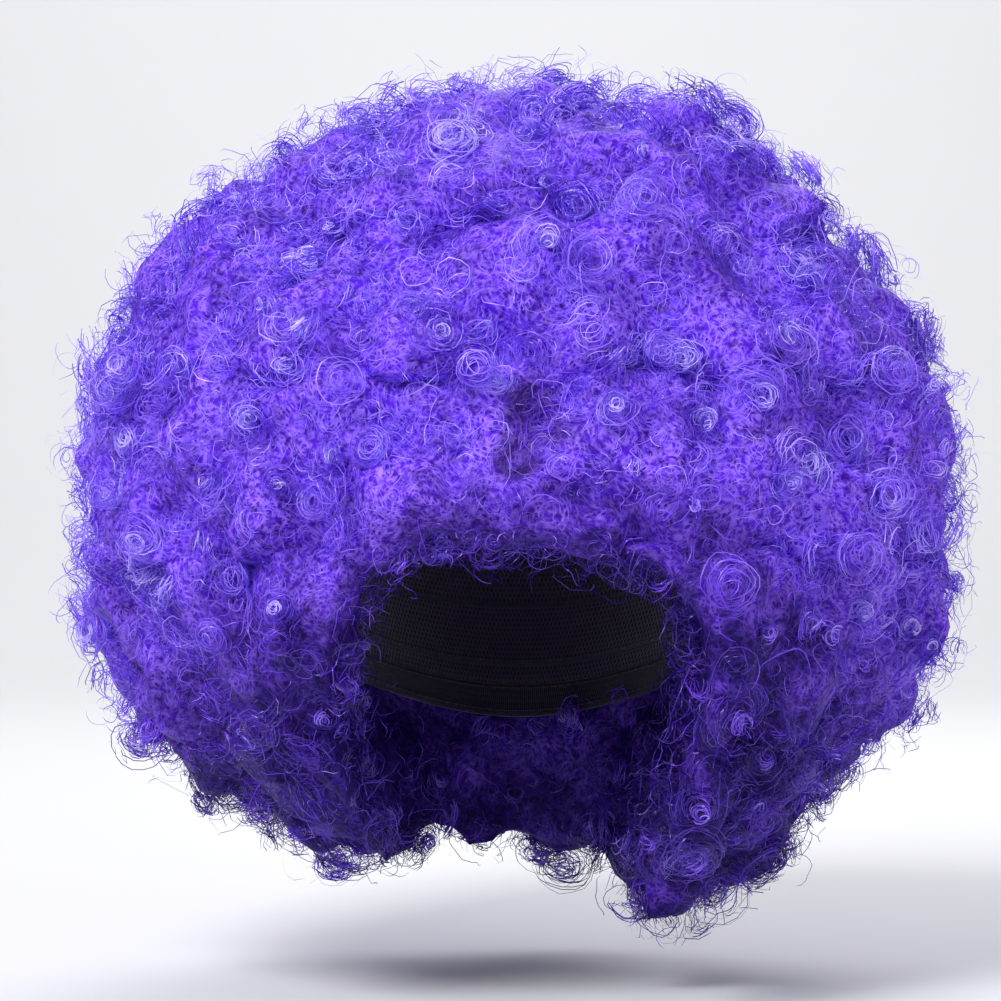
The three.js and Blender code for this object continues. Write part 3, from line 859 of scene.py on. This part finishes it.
FRINGE_LOOPS, FRINGE_BIAS = 110, 1.4
LOOP_SIZES, LOOP_GROWTH = (5, 9), 8
FLY_AWAYS = [
    {"px": 726, "py": 97, "radius": 19}, {"px": 738, "py": 118, "radius": 12},
    {"px": 214, "py": 186, "radius": 14}, {"px": 76, "py": 362, "radius": 13},
    {"px": 478, "py": 80, "radius": 14}, {"px": 640, "py": 82, "radius": 13},
    {"px": 968, "py": 500, "radius": 15}, {"px": 108, "py": 705, "radius": 15},
    {"px": 905, "py": 268, "radius": 12}, {"px": 330, "py": 118, "radius": 12},
    {"px": 815, "py": 182, "radius": 13}, {"px": 90, "py": 610, "radius": 14},
]
FLY_DEPTH, FLY_TONE = 0.02, 0.6
rng = random.Random(11)


def any_way(facing, spread):
    """The facing direction, leaning some way off by up to spread."""
    aside = Vector([rng.uniform(-1, 1) for _ in range(3)])
    return (facing + aside * spread).normalized()


show_spots = []
for ringlet in SHOW_RINGLETS:
    place, outward = on_hair(ringlet["px"], ringlet["py"])
    facing = any_way((outward + TO_CAMERA).normalized(), RINGLET_LEAN)
    girth = ringlet["radius"] * PIXEL / RINGLET_RADIUS
    show_spots.append((place + outward * RINGLET_LIFT, facing, girth, ringlet["tone"]))
show = grown("show_ringlets", curl_spots("show_ringlets", show_spots), placed_curls, {
    **CURL_KINDS["ringlets"], "Fibres": 15, "Loose": 0.0015, "Uneven": 0.2, "Pitch": 0.003, "Frizz": 0.0009,
    "Steps": 18, "Spread": 0.38, "Painted Highlight": 0.02, "Material": fibre,
})

loops = []
for _ in range(FRINGE_LOOPS):
    px = rng.uniform(FRINGE_FOOT[0]["px"], FRINGE_FOOT[-1]["px"])
    left, right = next((a, b) for a, b in zip(FRINGE_FOOT, FRINGE_FOOT[1:]) if px <= b["px"])
    share = (px - left["px"]) / (right["px"] - left["px"])
    foot = left["py"] + share * (right["py"] - left["py"])
    fall = rng.random() ** FRINGE_BIAS
    radius = rng.uniform(*LOOP_SIZES) + LOOP_GROWTH * fall
    py = FRINGE_ROOT + (foot - radius - FRINGE_ROOT) * fall
    depth = on_hair(px, FRINGE_SEAM)[0].y + rng.uniform(*FRINGE_BEHIND)
    facing = any_way(TO_CAMERA, FRINGE_LEAN)
    loops.append((at_depth(px, py, depth), facing, radius * PIXEL / LOOP_RADIUS, rng.random() - 0.5))
fringe = grown("fringe_loops", curl_spots("fringe_loops", loops), placed_curls, {
    **CURL_KINDS["curls"], "Fibres": 2, "Steps": 18, "Width": 0.00014, "Frizz": 0.0009, "Material": fibre,
})

flights = []
for loop in FLY_AWAYS:
    place = at_depth(loop["px"], loop["py"], rng.uniform(-FLY_DEPTH, FLY_DEPTH))
    flights.append((place, any_way(TO_CAMERA, FLY_LEAN), loop["radius"] * PIXEL / LOOP_RADIUS, FLY_TONE))
fly_aways = grown("fly_aways", curl_spots("fly_aways", flights), placed_curls, {
    **CURL_KINDS["curls"], "Fibres": 3, "Steps": 24, "Width": 0.00013, "Loose": 0.0030, "Frizz": 0.0008,
    "Material": fibre,
})
for piece in (show, fringe, fly_aways):
    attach(piece, "root")

# Studio: a pale paper sweep that curves from floor to wall, one large soft light above and
# to the left, a weaker one at the right, one behind that draws the edge of the frizz, and one
# on the paper.

SWEEP_HALF_WIDTH, SWEEP_FRONT, SWEEP_BACK, SWEEP_HEIGHT = 6.0, -5.0, 3.6, 4.0
SWEEP_BEND, BEND_STEPS = 1.5, 16
FLOOR_HEIGHT = -0.245
WIG_MIDDLE = (0, 0, -0.06)
PAPER_SHADE, PAPER_COLOUR = (0.7644, 0.7644, 0.784, 1), (0.78, 0.78, 0.80, 1)
WORLD_COLOUR, WORLD_STRENGTH = (0.92, 0.93, 1, 1), 0.31
LIGHTS = {
    "key": {"place": (-0.75, -1.3, 1.15), "size": 0.7, "power": 37},
    "fill": {"place": (1.3, -1.0, 0.6), "size": 1.2, "power": 7},
    "rim": {"place": (0.3, 1.2, 1.2), "size": 0.9, "power": 10},
    "paper": {"place": (0.0, 1.9, 2.6), "size": 2.0, "power": 52, "aim": (0.0, 3.6, 0.2)},
}

profile = [(SWEEP_FRONT, FLOOR_HEIGHT)]
for i in range(BEND_STEPS + 1):
    angle = math.pi / 2 * i / BEND_STEPS
    profile.append((SWEEP_BACK - SWEEP_BEND + SWEEP_BEND * math.sin(angle),
                    FLOOR_HEIGHT + SWEEP_BEND * (1 - math.cos(angle))))
profile.append((SWEEP_BACK, FLOOR_HEIGHT + SWEEP_HEIGHT))
sweep = bmesh.new()
sides = [[sweep.verts.new((x, y, z)) for y, z in profile] for x in (-SWEEP_HALF_WIDTH, SWEEP_HALF_WIDTH)]
for i in range(len(profile) - 1):
    sweep.faces.new((sides[0][i], sides[1][i], sides[1][i + 1], sides[0][i + 1])).smooth = True
floor = new_piece("paper_sweep", bpy.data.meshes.new("paper_sweep"))
sweep.to_mesh(floor.data)
sweep.free()
paper, paper_tree, paper_shader = new_material("paper", 0.85, 0.2)
grain = rough(paper_tree, node(paper_tree, "ShaderNodeTexCoord").outputs["Object"], 3.0, 2.0)
paper_tree.links.new(blend(paper_tree, grain, PAPER_SHADE, PAPER_COLOUR), paper_shader.inputs["Base Color"])
floor.data.materials.append(paper)

for name, light in LIGHTS.items():
    lamp = bpy.data.lights.new(name, "AREA")
    lamp.energy = light["power"]
    lamp.size = light["size"]
    lit = bpy.data.objects.new(name, lamp)
    lit.location = light["place"]
    aim = Vector(light.get("aim", WIG_MIDDLE)) - lit.location
    lit.rotation_euler = aim.to_track_quat("-Z", "Y").to_euler()
    bpy.context.scene.collection.objects.link(lit)

world = bpy.data.worlds.new("studio")
world.use_nodes = True
world.node_tree.nodes["Background"].inputs["Color"].default_value = WORLD_COLOUR
world.node_tree.nodes["Background"].inputs["Strength"].default_value = WORLD_STRENGTH
bpy.context.scene.world = world
bpy.context.scene.view_settings.view_transform = "Standard"
